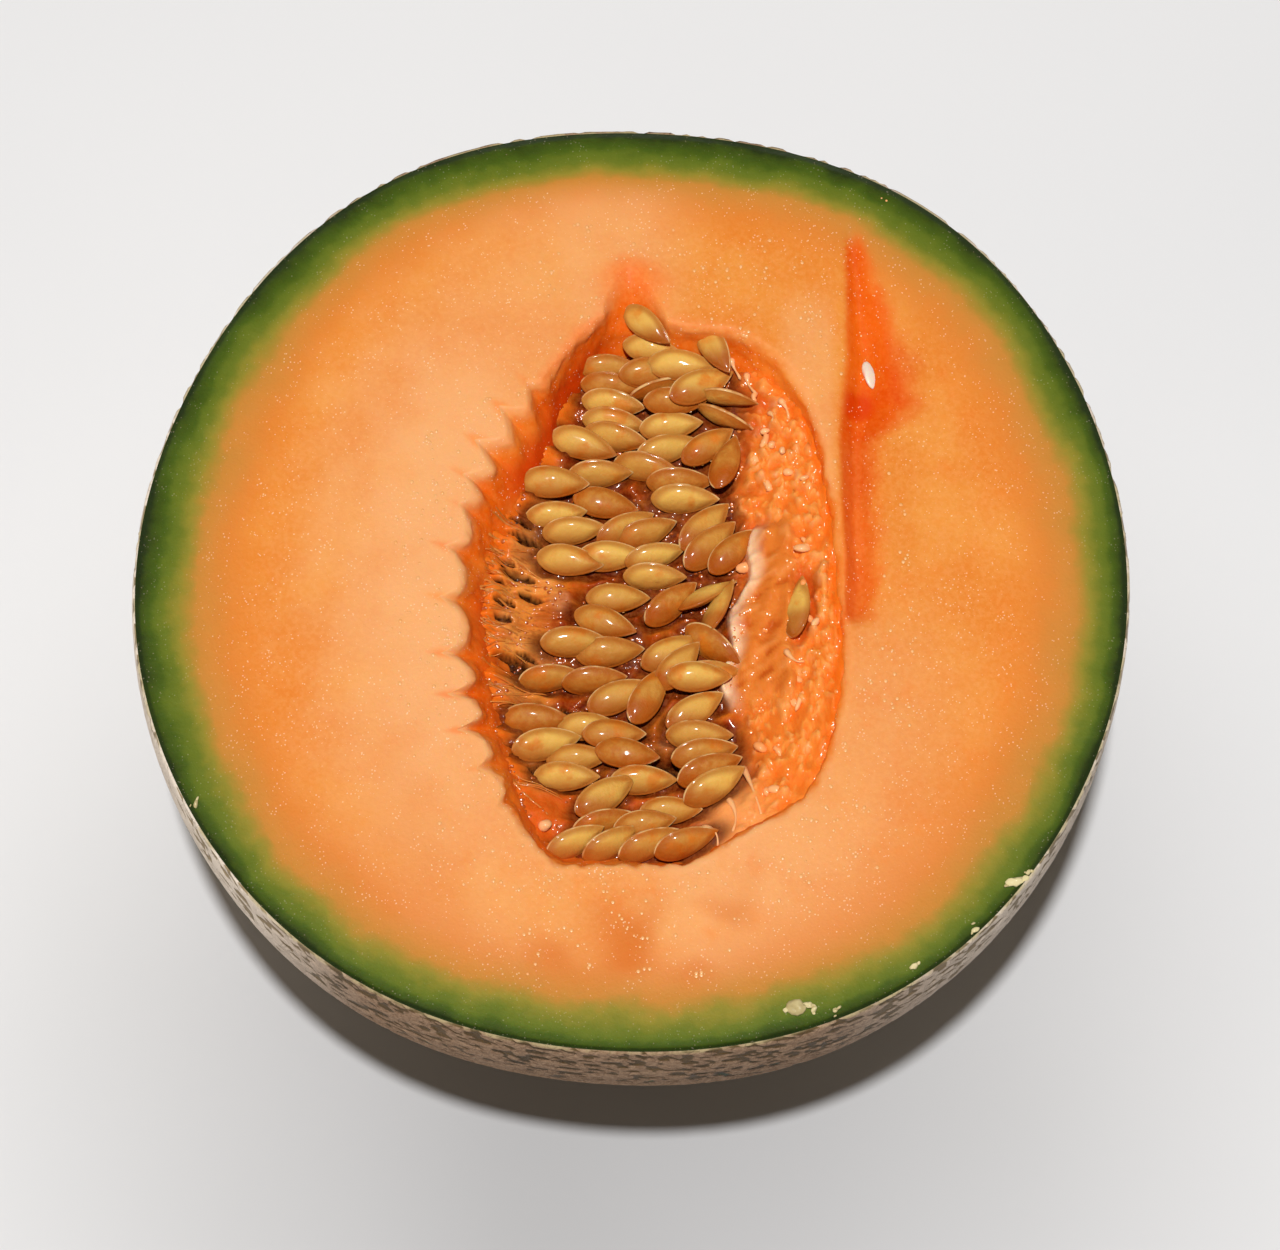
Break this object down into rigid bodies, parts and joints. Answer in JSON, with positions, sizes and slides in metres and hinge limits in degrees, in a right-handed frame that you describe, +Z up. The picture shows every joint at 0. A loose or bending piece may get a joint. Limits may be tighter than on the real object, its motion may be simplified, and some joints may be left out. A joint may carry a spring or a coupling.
{
  "type": "melon half",
  "caption": "Half of a netted melon lying on its rind, cut face up, with seeds and pulp in its open hollow.",
  "frame": {"origin": "on the surface that the half rests on, under the middle of the cut face", "axes": "+Z up, the cut face's outward normal; +Y towards the far side of the cut face, along the hollow; +X to the right, towards the opened seed chamber"},
  "size_m": [0.1558, 0.156, 0.074],
  "materials": {
    "melon_flesh": "wet pale orange flesh with a green band inside a pale netted rind",
    "seed_mass": "wet golden tan seeds on orange pulp"
  },
  "bodies": {
    "root": {"melon_flesh": "melon_flesh", "seed_mass": "seed_mass"}
  },
  "joints": []
}
